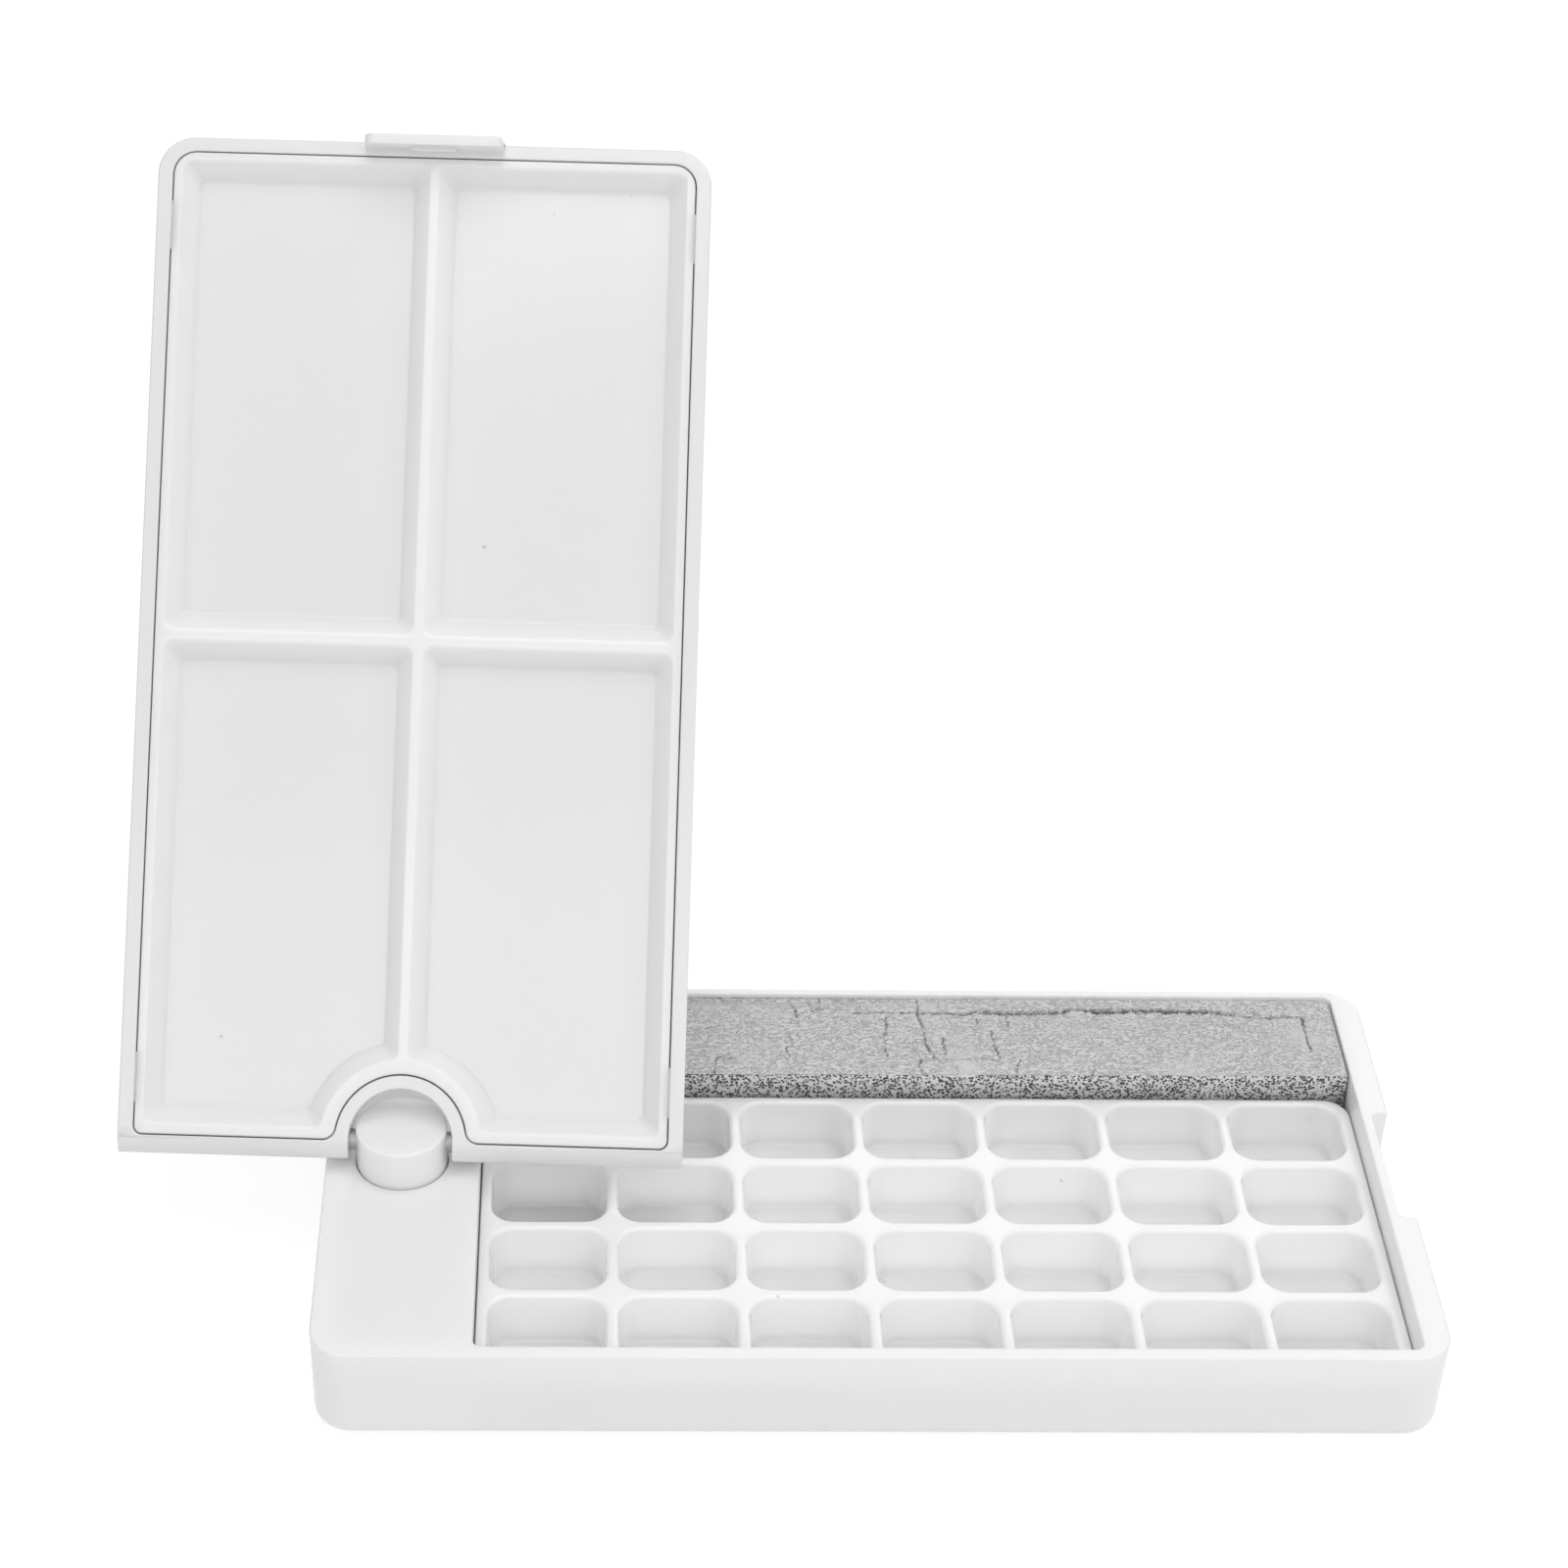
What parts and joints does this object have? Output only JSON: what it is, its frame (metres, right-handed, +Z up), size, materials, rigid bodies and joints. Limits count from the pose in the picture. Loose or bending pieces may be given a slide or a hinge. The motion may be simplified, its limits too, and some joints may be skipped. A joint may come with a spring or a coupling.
{
  "type": "rotating watercolour palette",
  "caption": "Flat white paint box with rows of wells and a sponge. Its lid holds a mixing tray, tilts up on a pin and swivels on a round knob.",
  "frame": {"origin": "middle of the base's flat underside", "axes": "+X along the box from the knob's end to the latch's end, +Y towards the sponge's side, +Z up"},
  "size_m": [0.2616, 0.1897, 0.1942],
  "materials": {
    "white_case": "smooth glossy moulded white",
    "white_tray": "smooth glossy moulded white",
    "white_knob": "satin moulded white",
    "sponge_foam": "pale grey dry sponge with a wrinkled skin",
    "steel": "plain bright steel"
  },
  "bodies": {
    "base": {"base_case": "white_case", "paint_tray": "white_tray", "sponge": "sponge_foam"},
    "turret": {"swivel_knob": "white_knob", "hinge_pin": "steel", "spring_washer": "steel", "plain_washer": "steel", "swivel_screw": "steel"},
    "lid": {"lid_shell": "white_case", "mixing_tray": "white_tray"}
  },
  "joints": [
    {"name": "lid_swivel", "type": "hinge", "parent": "base", "child": "turret", "pos_m": [-0.0945, 0, 0.0224], "axis": [0, 0, 1], "range_deg": [-87.7, 92.3]},
    {"name": "lid_tilt", "type": "hinge", "parent": "turret", "child": "lid", "pos_m": [-0.0945, 0, 0.0274], "axis": [0.9992, -0.0401, 0], "range_deg": [0, 129]}
  ]
}
